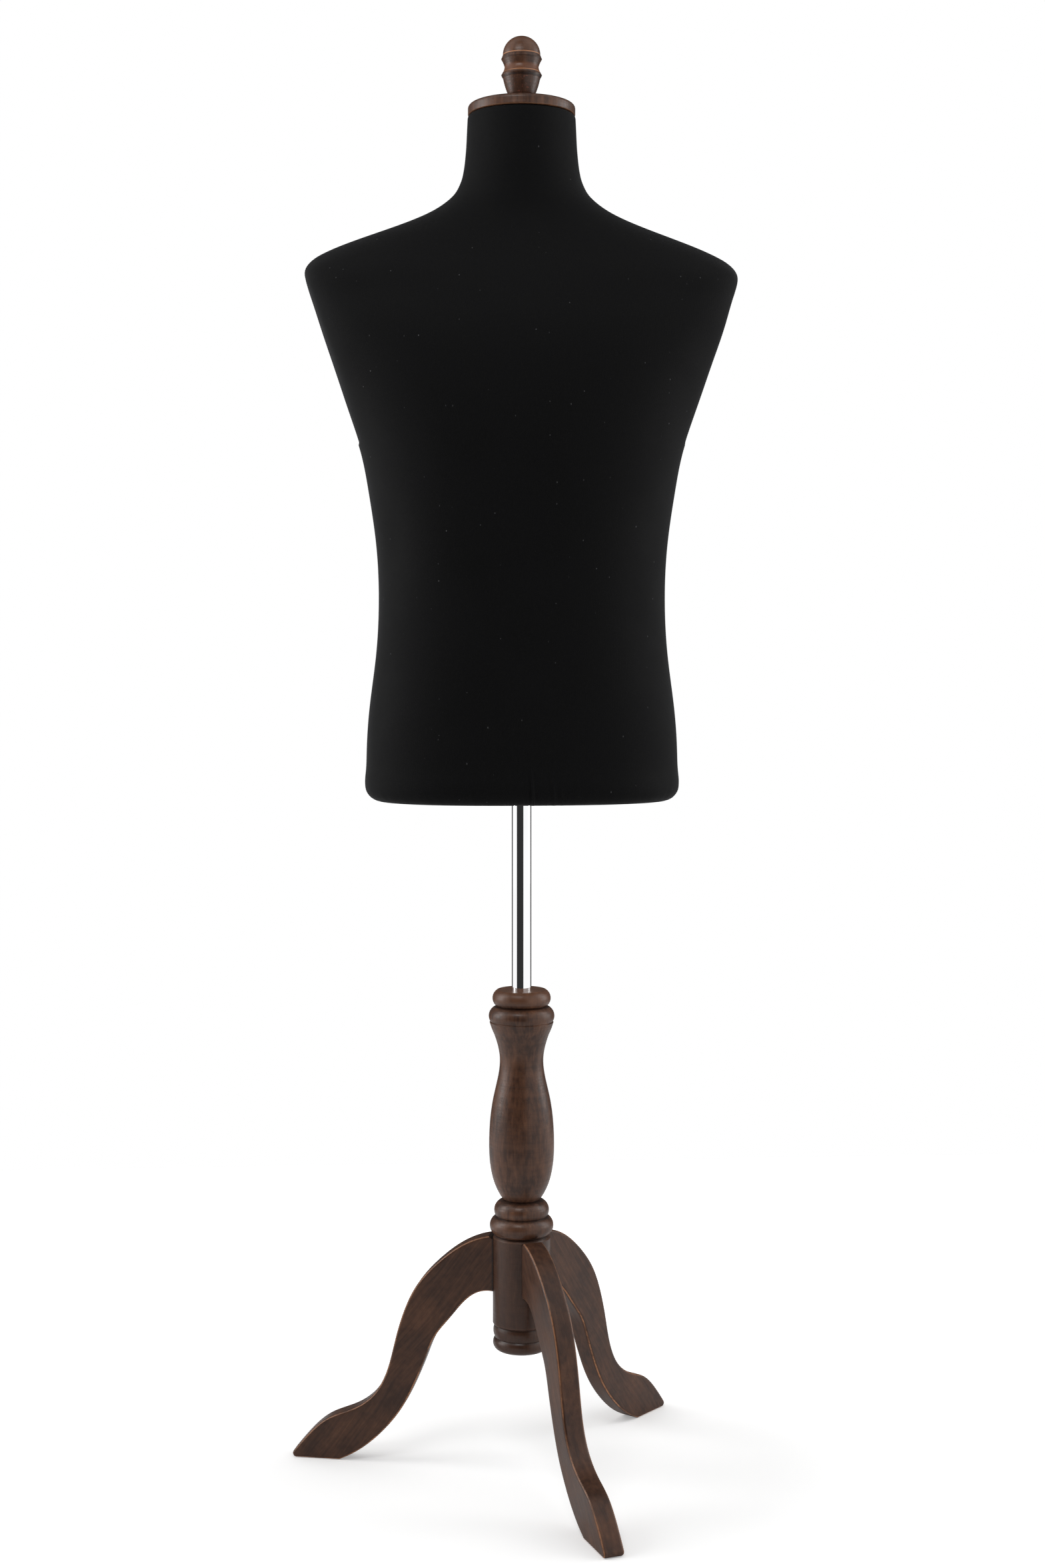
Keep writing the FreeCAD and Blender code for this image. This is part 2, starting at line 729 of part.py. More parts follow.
def build():
    """Every sub-part by name."""
    parts = {
        "column": column(),
        "pole": pole(),
        "pole_insert": pole_insert(),
        "pole_glide": pole_glide(),
        "column_bolt": column_bolt(),
        "column_washer": column_washer(),
        "leg_dowels": leg_dowels(),
        "guide_bush": guide_bush(),
        "socket_flange": socket_flange(),
        "socket_tube": socket_tube(),
        "tube_cap": tube_cap(),
        "flange_screws": flange_screws(),
        "base_board": base_board(),
        "foam_front": foam_half(-1),
        "foam_rear": foam_half(1),
        "jersey_cover": jersey_cover(),
        "neck_block": neck_block(),
        "neck_cap": neck_cap(),
        "finial": finial(),
        "finial_stud": finial_stud(),
        "lock_screw": lock_screw(),
        "lock_knob": lock_knob(),
    }
    for number, name in enumerate(["leg_front", "leg_right", "leg_left"]):
        parts[name] = leg(number)
    return parts


os.makedirs("parts", exist_ok=True)
for name, shape in build().items():
    if not shape.isValid():
        print("not valid:", name)
    shape.exportStep(os.path.join("parts", name + ".step"))
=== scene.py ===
import math

import bpy
import numpy as np
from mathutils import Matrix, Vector


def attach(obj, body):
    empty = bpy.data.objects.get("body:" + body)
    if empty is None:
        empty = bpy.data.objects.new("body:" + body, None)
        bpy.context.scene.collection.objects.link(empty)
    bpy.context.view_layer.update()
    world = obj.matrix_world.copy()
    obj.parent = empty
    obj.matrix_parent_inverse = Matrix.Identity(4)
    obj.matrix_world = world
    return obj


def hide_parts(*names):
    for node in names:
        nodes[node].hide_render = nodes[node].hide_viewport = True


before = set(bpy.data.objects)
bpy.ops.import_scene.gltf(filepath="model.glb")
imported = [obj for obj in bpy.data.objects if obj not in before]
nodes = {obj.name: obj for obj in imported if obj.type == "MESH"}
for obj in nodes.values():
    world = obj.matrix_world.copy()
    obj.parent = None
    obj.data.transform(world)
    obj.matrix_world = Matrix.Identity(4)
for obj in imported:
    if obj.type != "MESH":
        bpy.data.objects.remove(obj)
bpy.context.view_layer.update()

scene = bpy.context.scene

# Sizes of the torso in millimetres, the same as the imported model's
BOTTOM = 679.0
HEIGHT = 694.0
TOP = BOTTOM + HEIGHT
EDGE = 13.0
FOAM_WALL = 20.0
SECTION_POINTS = 28
ARMPIT = (0.520, 164.5, 3.0)
TIP = (0.765, 220.5, 26.0)
# Share of the height, half width, depth in front, depth behind, squareness
LEVELS = np.array([
    (0.000, 157.0, 111.0, 113.0, 2.60),
    (0.055, 157.4, 110.0, 119.0, 2.60),
    (0.130, 154.6, 108.0, 117.0, 2.55),
    (0.210, 147.8, 107.0, 103.0, 2.50),
    (0.285, 145.0, 108.0, 93.0, 2.45),
    (0.370, 147.5, 111.0, 92.0, 2.45),
    (0.450, 155.4, 116.0, 98.0, 2.45),
    (0.530, 168.5, 120.0, 107.0, 2.45),
    (0.590, 188.0, 120.5, 114.0, 2.40),
    (0.640, 206.0, 117.5, 118.5, 2.35),
    (0.690, 226.0, 109.0, 119.5, 2.25),
    (0.730, 238.0, 97.0, 116.0, 2.15),
    (0.758, 242.0, 87.0, 109.0, 2.10),
    (0.776, 224.0, 80.0, 103.0, 2.05),
    (0.800, 192.5, 71.0, 94.0, 2.00),
    (0.828, 141.0, 61.5, 79.5, 2.00),
    (0.855, 95.0, 56.0, 67.0, 2.00),
    (0.870, 78.5, 55.0, 62.0, 2.00),
    (0.885, 67.8, 54.5, 58.5, 2.00),
    (0.895, 63.9, 54.4, 57.1, 2.00),
    (0.905, 61.1, 54.5, 56.0, 2.00),
    (0.916, 59.3, 54.7, 55.2, 2.00),
    (0.927, 58.1, 54.8, 54.5, 2.00),
    (0.939, 57.2, 54.8, 53.9, 2.00),
    (0.951, 56.5, 54.8, 53.4, 2.00),
    (0.9635, 56.0, 54.6, 53.0, 2.00),
    (0.976, 55.6, 54.4, 52.6, 2.00),
    (0.988, 55.2, 54.2, 52.3, 2.00),
    (1.000, 54.8, 54.0, 52.0, 2.00),
])

# Heights on the column and the finial where a crease is darkened by painted shade or an arris is worn,
# in metres
COLUMN_CREASES = (0.1335, 0.146, 0.237, 0.256, 0.2725, 0.469)
COLUMN_ARRISES = (0.1485, 0.2345)
HUB_TOP = (0.242, 0.232)
TOP_BEAD = (0.470, 0.478)
FINIAL_CREASES = (1.3895, 1.4125)
FINIAL_ARRISES = (1.3862, 1.4170, 1.4350)
FINIAL_WAIST = 1.421
FINIAL_DOME = (1.4350, 1.4372)
FINIAL_CUP = (1.4120, 1.4090)
CAP_EDGE = 1.3735
CAP_TOP = 1.3843
# Width and height of a knitted loop, and thickness of one ply, in metres
WALE = 0.0011
COURSE = 0.0008
PLY = 0.0028
LEG_BEARINGS = {"leg_front": 287.0, "leg_right": 47.0, "leg_left": 167.0}


def add_node(tree, kind, **settings):
    node = tree.nodes.new(kind)
    for key, value in settings.items():
        setattr(node, key, value)
    return node


def set_inputs(node, **values):
    """Set a node's inputs by name, with low line for space."""
    for key, value in values.items():
        node.inputs[key.replace("_", " ")].default_value = value


def join(tree, pairs):
    for source, target in pairs:
        tree.links.new(source, target)


def empty_tree(owner):
    owner.use_nodes = True
    owner.node_tree.nodes.clear()
    return owner.node_tree


class Shader:
    """A material's node tree, with short calls for the nodes it is made of."""

    def __init__(self, name):
        self.material = bpy.data.materials.new(name)
        self.tree = empty_tree(self.material)
        output = self.add("ShaderNodeOutputMaterial")
        self.surface = self.add("ShaderNodeBsdfPrincipled")
        self.link(self.surface.outputs[0], output.inputs[0])
        self.place = self.add("ShaderNodeTexCoord")
        self.position = self.place.outputs["Object"]
        self.normal = self.place.outputs["Normal"]

    def add(self, kind, **settings):
        return add_node(self.tree, kind, **settings)

    def link(self, source, target):
        self.tree.links.new(source, target)

    def put(self, target, value):
        if isinstance(value, bpy.types.NodeSocket):
            self.link(value, target)
        else:
            target.default_value = value

    def math(self, operation, a, b=0.0):
        node = self.add("ShaderNodeMath", operation=operation)
        self.put(node.inputs[0], a)
        self.put(node.inputs[1], b)
        return node.outputs[0]

    def dot(self, a, b):
        node = self.add("ShaderNodeVectorMath", operation="DOT_PRODUCT")
        self.put(node.inputs[0], a)
        self.put(node.inputs[1], b)
        return node.outputs["Value"]

    def scaled(self, vector, scale):
        node = self.add("ShaderNodeVectorMath", operation="MULTIPLY")
        self.put(node.inputs[0], vector)
        self.put(node.inputs[1], scale)
        return node.outputs[0]

    def joined(self, x, y, z):
        node = self.add("ShaderNodeCombineXYZ")
        for target, value in zip(node.inputs, (x, y, z)):
            self.put(target, value)
        return node.outputs[0]

    def parts(self, vector):
        node = self.add("ShaderNodeSeparateXYZ")
        self.put(node.inputs[0], vector)
        return node.outputs

    def noise(self, vector, scale, detail=3.0, distortion=0.0):
        node = self.add("ShaderNodeTexNoise")
        self.put(node.inputs["Vector"], vector)
        self.put(node.inputs["Scale"], scale)
        self.put(node.inputs["Detail"], detail)
        self.put(node.inputs["Distortion"], distortion)
        return node.outputs["Fac"]

    def between(self, value, low, high, to_low=0.0, to_high=1.0):
        node = self.add("ShaderNodeMapRange", interpolation_type="SMOOTHSTEP")
        self.put(node.inputs["Value"], value)
        self.put(node.inputs["From Min"], low)
        self.put(node.inputs["From Max"], high)
        self.put(node.inputs["To Min"], to_low)
        self.put(node.inputs["To Max"], to_high)
        return node.outputs["Result"]

    def mix(self, share, a, b):
        node = self.add("ShaderNodeMix", data_type="RGBA")
        self.put(node.inputs["Factor"], share)
        self.put(node.inputs[6], a)
        self.put(node.inputs[7], b)
        return node.outputs[2]

    def bump(self, height, strength, distance, normal=None):
        node = self.add("ShaderNodeBump")
        self.put(node.inputs["Height"], height)
        self.put(node.inputs["Strength"], strength)
        self.put(node.inputs["Distance"], distance)
        if normal is not None:
            self.put(node.inputs["Normal"], normal)
        return node.outputs[0]

    def bands(self, value, places, half_width):
        """Where a value is near one of some places."""
        total = None
        for place in places:
            distance = self.math("ABSOLUTE", self.math("SUBTRACT", value, place))
            band = self.between(distance, half_width * 0.35, half_width, 1.0, 0.0)
            total = band if total is None else self.math("MAXIMUM", total, band)
        return total

    def finish(self, colour, roughness, normal=None, metallic=0.0, specular=0.36):
        surface = self.surface.inputs
        self.put(surface["Base Color"], colour)
        self.put(surface["Roughness"], roughness)
        self.put(surface["Metallic"], metallic)
        self.put(surface["Specular IOR Level"], specular)
        if normal is not None:
            self.put(surface["Normal"], normal)
        return self.material


DARK = (0.040, 0.0175, 0.0105, 1)
BROWN = (0.098, 0.043, 0.0235, 1)
LIGHT = (0.165, 0.074, 0.040, 1)
WORN = (0.46, 0.205, 0.095, 1)
# Near-black brown for painted shade, put in the turned creases and in the gap where a leg meets the
# column
PAINTED_SHADE = (0.012, 0.007, 0.006, 1)


def stained_wood(s, streaks, fine, pore_share):
    """Stained walnut: broad cloudy tone, short grain streaks and open pores."""
    tone = s.noise(s.position, 26.0, 4.0, 0.4)
    mottle = s.noise(s.position, 170.0, 3.0)
    streak = s.noise(streaks, 1.0, 4.0, 0.4)
    pores = s.noise(fine, 1.0, 3.0)
    blend = s.math("ADD", s.math("MULTIPLY", streak, 0.40), s.math("MULTIPLY", mottle, 0.18))
    blend = s.math("ADD", blend, s.math("MULTIPLY", tone, 0.42))
    colour = s.mix(s.between(blend, 0.38, 0.56), DARK, BROWN)
    colour = s.mix(s.between(blend, 0.52, 0.68), colour, LIGHT)
    pore = s.between(pores, 0.58, 0.70)
    colour = s.mix(s.math("MULTIPLY", pore, pore_share), colour, DARK)
    height = s.math("SUBTRACT", s.math("MULTIPLY", streak, 0.4), pore)
    return colour, height, tone


def turned_walnut(name, creases, arrises, rings, worn_share):
    """Walnut turned on a lathe, with marks of the tool and worn arrises at given heights."""
    s = Shader(name)
    z = s.parts(s.position)[2]
    streaks = s.scaled(s.position, (300.0, 300.0, 42.0))
    fine = s.scaled(s.position, (1250.0, 1250.0, 110.0))
    colour, height = stained_wood(s, streaks, fine, 0.30)[:2]
    ring = s.noise(s.scaled(s.position, (9.0, 9.0, 700.0)), 1.0, 3.0)
    broad = s.noise(s.scaled(s.position, (5.0, 5.0, 95.0)), 1.0, 2.0)
    colour = s.mix(s.between(ring, 0.48, 0.72, 0.0, 0.30 * rings), colour, DARK)
    colour = s.mix(s.between(broad, 0.45, 0.75, 0.0, 0.30 * rings), colour, LIGHT)
    # Painted shade: the creases at these heights are darkened towards near-black
    crease = s.bands(z, creases, 0.0016)
    colour = s.mix(s.math("MULTIPLY", crease, 0.62), colour, PAINTED_SHADE)
    patch = s.noise(s.scaled(s.position, (55.0, 55.0, 200.0)), 1.0, 3.0)
    worn = s.between(patch, 0.34, 0.52, 0.25, 1.0)
    edge = s.math("MULTIPLY", s.bands(z, arrises, 0.0008), worn)
    colour = s.mix(s.math("MULTIPLY", edge, worn_share), colour, WORN)
    rough = s.between(ring, 0.3, 0.75, 0.30, 0.42)
    normal = s.bump(height, 0.20, 0.0004)
    normal = s.bump(ring, 0.22 * rings, 0.0006, normal)
    return s, colour, rough, normal, z


def column_material():
    s, colour, rough, normal, z = turned_walnut(
        "walnut_column", COLUMN_CREASES, COLUMN_ARRISES, 0.9, 0.15)
    colour = s.mix(s.between(z, *HUB_TOP, 0.0, 0.7), colour, DARK)
    # Painted highlight: the column is lightened from the top bead upward
    colour = s.mix(s.between(z, *TOP_BEAD, 0.0, 0.45), colour, LIGHT)
    return s.finish(colour, rough, normal)


def cap_material():
    s, colour, rough, normal = turned_walnut(
        "walnut_cap", (CAP_TOP,), (CAP_EDGE,), 0.5, 0.22)[:4]
    return s.finish(colour, rough, normal)


def finial_material():
    s, colour, rough, normal, z = turned_walnut(
        "walnut_finial", FINIAL_CREASES, FINIAL_ARRISES, 1.2, 0.9)
    # Painted highlight: the dome at the top of the finial is lightened
    dome = s.between(z, *FINIAL_DOME, 0.0, 0.38)
    colour = s.mix(dome, colour, LIGHT)
    waist = s.math("MULTIPLY", s.bands(z, (FINIAL_WAIST,), 0.0046), 0.42)
    colour = s.mix(waist, colour, (0.24, 0.085, 0.035, 1))
    cup = s.between(z, *FINIAL_CUP)
    # Painted highlights: small reddish glints scattered on the cup, which is darkened below its top
    painted_glints = s.between(s.noise(s.position, 420.0, 2.0), 0.60, 0.70)
    colour = s.mix(s.math("MULTIPLY", cup, 0.55), colour, DARK)
    painted_glints = s.math("MULTIPLY", s.math("MULTIPLY", cup, painted_glints), 0.7)
    colour = s.mix(painted_glints, colour, (0.23, 0.07, 0.04, 1))
    return s.finish(colour, rough, normal)


def leg_material(name, bearing):
    """Walnut board sawn to a leg: straight grain down the leg and thin wear along its edges."""
    s = Shader("walnut_" + name)
    angle = math.radians(bearing)
    cos, sin = math.cos(angle), math.sin(angle)
    along = s.dot(s.position, (0.60 * cos, 0.60 * sin, -0.80))
    across = s.dot(s.position, (0.80 * cos, 0.80 * sin, 0.60))
    side = s.dot(s.position, (-sin, cos, 0.0))
    bend = s.math("MULTIPLY", s.noise(s.position, 9.0, 1.0), 0.02)
    across = s.math("ADD", across, bend)

    def stretched(a, b, c):
        return s.joined(s.math("MULTIPLY", along, a), s.math("MULTIPLY", across, b),
                        s.math("MULTIPLY", side, c))

    grain = stretched(24.0, 330.0, 220.0)
    colour, height, tone = stained_wood(s, grain, stretched(90.0, 1200.0, 900.0), 0.45)
    colour = s.mix(0.38, colour, DARK)
    facing = s.math("ABSOLUTE", s.dot(s.normal, (-sin, cos, 0.0)))
    edge = s.math("MULTIPLY", s.between(facing, 0.40, 0.58), s.between(facing, 0.95, 0.78))
    low = s.between(s.dot(s.normal, (-0.55 * cos, -0.55 * sin, -0.83)), -0.35, 0.35, 0.55, 1.0)
    patch = s.noise(s.position, 38.0, 3.0)
    ragged = s.noise(stretched(260.0, 900.0, 900.0), 1.0, 2.0)
    wear = s.math("MULTIPLY", edge, s.between(patch, 0.36, 0.52, 0.25, 1.0))
    wear = s.math("MULTIPLY", wear, s.between(ragged, 0.34, 0.52, 0.4, 1.0))
    wear = s.math("MULTIPLY", wear, low)
    colour = s.mix(s.math("MULTIPLY", wear, 0.95), colour, WORN)
    x, y = s.parts(s.position)[:2]
    radius = s.math("SQRT", s.math("ADD", s.math("MULTIPLY", x, x), s.math("MULTIPLY", y, y)))
    # Painted shade: a dark ring 30.2 to 31.6 mm from the axis, in the gap where the leg meets the column
    joint_shade = s.between(radius, 0.0316, 0.0302)
    colour = s.mix(s.math("MULTIPLY", joint_shade, 0.8), colour, PAINTED_SHADE)
    rough = s.between(tone, 0.3, 0.7, 0.32, 0.44)
    normal = s.bump(height, 0.22, 0.0004)
    return s.finish(colour, rough, normal, specular=0.30)


def jersey_material():
    """Black cotton jersey: fine loops, soft sheen and bits of lint."""
    s = Shader("jersey_knit")
    u, v = s.parts(s.place.outputs["UV"])[:2]
    wale = s.math("MULTIPLY", u, 2 * math.pi / WALE)
    course = s.math("MULTIPLY", v, 2 * math.pi / COURSE)
    slant = s.math("MULTIPLY", s.math("ABSOLUTE", s.math("SINE", s.math("MULTIPLY", wale, 0.5))), 2.2)
    loops = s.math("SINE", s.math("ADD", course, slant))
    ribs = s.math("COSINE", wale)
    knit = s.math("ADD", s.math("MULTIPLY", ribs, 0.6), s.math("MULTIPLY", loops, 0.4))
    cloud = s.noise(s.position, 16.0, 4.0)
    fuzz = s.noise(s.position, 900.0, 2.0)
    colour = s.mix(s.between(cloud, 0.3, 0.7), (0.0026, 0.0026, 0.0028, 1), (0.0040, 0.0040, 0.0043, 1))
    colour = s.mix(s.between(fuzz, 0.52, 0.75, 0.0, 0.5), colour, (0.0075, 0.0075, 0.0079, 1))
    cells = s.add("ShaderNodeTexVoronoi", feature="F1")
    s.put(cells.inputs["Vector"], s.scaled(s.position, (1.0, 1.0, 0.6)))
    s.put(cells.inputs["Scale"], 150.0)
    chosen = s.between(s.parts(cells.outputs["Color"])[0], 0.70, 0.95)
    lint = s.math("MULTIPLY", s.between(cells.outputs["Distance"], 0.10, 0.05), chosen)
    colour = s.mix(s.math("MULTIPLY", lint, 0.8), colour, (0.085, 0.085, 0.088, 1))
    normal = s.bump(knit, 0.30, 0.00012)
    normal = s.bump(fuzz, 0.10, 0.0003, normal)
    surface = s.surface.inputs
    surface["Sheen Weight"].default_value = 0.060
    surface["Sheen Roughness"].default_value = 0.29
    surface["Sheen Tint"].default_value = (0.95, 0.96, 1.0, 1)
    return s.finish(colour, s.between(cloud, 0.3, 0.7, 0.72, 0.80), normal, specular=0.10)


def chrome_material():
    s = Shader("chrome_plate")
    smear = s.noise(s.scaled(s.position, (60.0, 60.0, 7.0)), 1.0, 3.0)
    rub = s.noise(s.scaled(s.position, (900.0, 900.0, 14.0)), 1.0, 2.0)
    colour = s.mix(s.between(smear, 0.4, 0.7), (0.97, 0.97, 0.975, 1), (0.93, 0.93, 0.94, 1))
    polish = s.between(smear, 0.35, 0.75, 0.018, 0.040)
    rough = s.math("ADD", polish, s.between(rub, 0.5, 0.8, 0.0, 0.02))
    return s.finish(colour, rough, metallic=1.0)


def steel_material():
    s = Shader("zinc_steel")
    spangle = s.noise(s.position, 260.0, 3.0)
    turn = s.noise(s.scaled(s.position, (260.0, 260.0, 1800.0)), 1.0, 2.0)
    colour = s.mix(s.between(spangle, 0.35, 0.7), (0.52, 0.52, 0.53, 1), (0.66, 0.66, 0.66, 1))
    rough = s.between(turn, 0.3, 0.7, 0.26, 0.42)
    return s.finish(colour, rough, s.bump(turn, 0.12, 0.0002), metallic=1.0)


def plastic_material(name, base, pale, roughness):
    """Moulded plastic with a fine spark-eroded texture."""
    s = Shader(name)
    grain = s.noise(s.position, 1700.0, 2.0)
    tone = s.noise(s.position, 90.0, 2.0)
    colour = s.mix(s.between(tone, 0.35, 0.7), base, pale)
    rough = s.between(grain, 0.3, 0.7, roughness - 0.06, roughness + 0.06)
    return s.finish(colour, rough, s.bump(grain, 0.20, 0.00015))


def foam_material():
    """Rigid moulded foam: a pale yellow skin with small open cells."""
    s = Shader("moulded_foam")
    cells = s.add("ShaderNodeTexVoronoi", feature="F1")
    s.put(cells.inputs["Vector"], s.position)
    s.put(cells.inputs["Scale"], 900.0)
    open_cell = s.between(cells.outputs["Distance"], 0.35, 0.12)
    tone = s.noise(s.position, 30.0, 3.0)
    colour = s.mix(s.between(tone, 0.3, 0.7), (0.60, 0.53, 0.36, 1), (0.70, 0.64, 0.47, 1))
    colour = s.mix(s.math("MULTIPLY", open_cell, 0.35), colour, (0.40, 0.33, 0.20, 1))
    return s.finish(colour, 0.85, s.bump(open_cell, -0.25, 0.0003), specular=0.3)


def pale_wood_material():
    """Birch plywood and beech: pale faces with long grain, and plies at the sawn edge."""
    s = Shader("birch_ply")
    grain = s.noise(s.scaled(s.position, (7.0, 170.0, 60.0)), 1.0, 4.0, 0.8)
    fine = s.noise(s.scaled(s.position, (45.0, 1300.0, 700.0)), 1.0, 2.0)
    colour = s.mix(s.between(grain, 0.3, 0.72), (0.50, 0.345, 0.20, 1), (0.62, 0.45, 0.285, 1))
    colour = s.mix(s.between(fine, 0.56, 0.72, 0.0, 0.4), colour, (0.36, 0.22, 0.115, 1))
    z = s.parts(s.position)[2]
    upright = s.between(s.math("ABSOLUTE", s.parts(s.normal)[2]), 0.6, 0.3)
    ply = s.math("SINE", s.math("MULTIPLY", z, 2 * math.pi / PLY))
    ply = s.math("MULTIPLY", s.between(ply, -0.2, 0.3), upright)
    colour = s.mix(s.math("MULTIPLY", ply, 0.45), colour, (0.30, 0.18, 0.09, 1))
    rough = s.between(grain, 0.3, 0.7, 0.55, 0.68)
    return s.finish(colour, rough, s.bump(fine, 0.15, 0.0003), specular=0.35)


def natural_curve(xs, ys, at):
    """A smooth curve through given rows of values, read at other places."""
    count = len(xs)
    step = np.diff(xs)
    left = np.eye(count)
    right = np.zeros_like(ys)
    for i in range(1, count - 1):
        left[i, i - 1:i + 2] = step[i - 1], 2 * (step[i - 1] + step[i]), step[i]
        right[i] = 6 * ((ys[i + 1] - ys[i]) / step[i] - (ys[i] - ys[i - 1]) / step[i - 1])
    bend = np.linalg.solve(left, right)
    k = np.clip(np.searchsorted(xs, at) - 1, 0, count - 2)
    size = step[k][:, None]
    after = (at - xs[k])[:, None]
    before = size - after
    cubic = (bend[k] * before ** 3 + bend[k + 1] * after ** 3) / (6 * size)
    return (cubic + (ys[k] / size - bend[k] * size / 6) * before
            + (ys[k + 1] / size - bend[k + 1] * size / 6) * after)


def closed_curve(points, at):
    """A smooth closed curve through points, read at shares of its length."""
    count = len(points)
    chord = np.linalg.norm(np.roll(points, -1, 0) - points, axis=1)
    slope = (np.roll(points, -1, 0) - points) / chord[:, None]
    left = np.zeros((count, count))
    for i in range(count):
        left[i, i - 1] = chord[i - 1]
        left[i, i] = 2 * (chord[i - 1] + chord[i])
        left[i, (i + 1) % count] = chord[i]
    bend = np.linalg.solve(left, 6 * (slope - np.roll(slope, 1, 0)))
    knots = np.concatenate([[0.0], np.cumsum(chord)])
    place = at * knots[-1]
    k = np.clip(np.searchsorted(knots, place, side="right") - 1, 0, count - 1)
    size = chord[k][:, None]
    after = (place - knots[k])[:, None]
    before = size - after
    following = (k + 1) % count
    cubic = (bend[k] * before ** 3 + bend[following] * after ** 3) / (6 * size)
    return (cubic + (points[k] / size - bend[k] * size / 6) * before
            + (points[following] / size - bend[following] * size / 6) * after)


def signed_power(value, power):
    return np.sign(value) * np.abs(value) ** power


def outline(level, share, inset, at):
    """One level cut of the torso, drawn in by an inset."""
    half_width, front, back, squareness = level
    run = (share - ARMPIT[0]) / (TIP[0] - ARMPIT[0])
    limit = ARMPIT[1] + (TIP[1] - ARMPIT[1]) * run
    rounding = min(ARMPIT[2] + (TIP[2] - ARMPIT[2]) * run, TIP[2])
    angle = 2 * np.pi * np.arange(SECTION_POINTS) / SECTION_POINTS
    depth = np.where(np.sin(angle) > 1e-9, back, front)
    x = half_width * signed_power(np.cos(angle), 2 / squareness)
    y = (depth - inset) * signed_power(np.sin(angle), 2 / squareness)
    width = np.abs(x)
    if share > ARMPIT[0]:
        close = np.maximum(rounding - np.abs(width - limit), 0) / rounding
        width = np.minimum(width, limit) - close ** 2 * rounding / 4
    width = width * (1 - inset / half_width)
    return closed_curve(np.stack([np.sign(x) * width, y], 1), at)


def rim_swell(z):
    """How far the body swells just above its rounded rim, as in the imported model."""
    return 1.5 * math.exp(-((z - BOTTOM - 18) / 12) ** 2)


def cover_rows():
    """Height and inset of every row of the cover, from inside the rim up to under the cap."""
    rows = [(z, FOAM_WALL + 0.9) for z in np.linspace(BOTTOM + 31, BOTTOM + 4, 8)]
    for step in range(1, 5):
        angle = math.pi / 2 * step / 4
        rows.append((BOTTOM + 4 - 3.7 * math.sin(angle), FOAM_WALL + 0.9 - 3.7 * (1 - math.cos(angle))))
    rows.append((BOTTOM + 0.25, 15.0))
    for step in range(9):
        angle = math.pi / 2 * step / 8
        z = BOTTOM + 0.2 + (EDGE - 0.2) * (1 - math.cos(angle))
        rows.append((z, EDGE * (1 - math.sin(angle)) - rim_swell(z)))
    while z < TOP - 4.0:
        share = (z - BOTTOM) / HEIGHT
        spacing = 1.6 if share < 0.09 else 3.4
        if 0.70 < share < 0.88:
            spacing = 2.4
        z += spacing
        rows.append((z, -rim_swell(z)))
    for step in range(1, 5):
        angle = math.pi / 2 * step / 4
        rows.append((TOP - 3.0 + 2.6 * math.sin(angle), 0.1 + 2.6 * (1 - math.cos(angle))))
    rows += [(TOP - 0.35, 8.0), (TOP - 0.35, 18.0), (TOP - 0.35, 30.0)]
    return rows


def cover_columns():
    """Shares round the torso, closer together at the puckers in front and the seam behind."""
    even = np.arange(352) / 352
    front = np.linspace(0.733, 0.792, 74)
    rear = np.linspace(0.243, 0.257, 22)
    keep = even[((even < 0.733) | (even > 0.792)) & ((even < 0.243) | (even > 0.257))]
    return np.sort(np.concatenate([keep, front, rear]))


def pucker(x, z, top, lean, depth, width):
    """A short upright crease in the cloth that fades out towards its top."""
    centre = lean[0] + (lean[1] - lean[0]) * np.clip((z - BOTTOM) / (top - BOTTOM), 0, 1)
    near = (x - centre) / width
    fade = np.clip((top - z) / (top - BOTTOM), 0, 1) ** 0.6
    trough = 0.32 * np.exp(-near ** 2) - np.exp(-(near - 1.9) ** 2) - 0.25 * np.exp(-(near + 2.2) ** 2)
    return depth * fade * trough


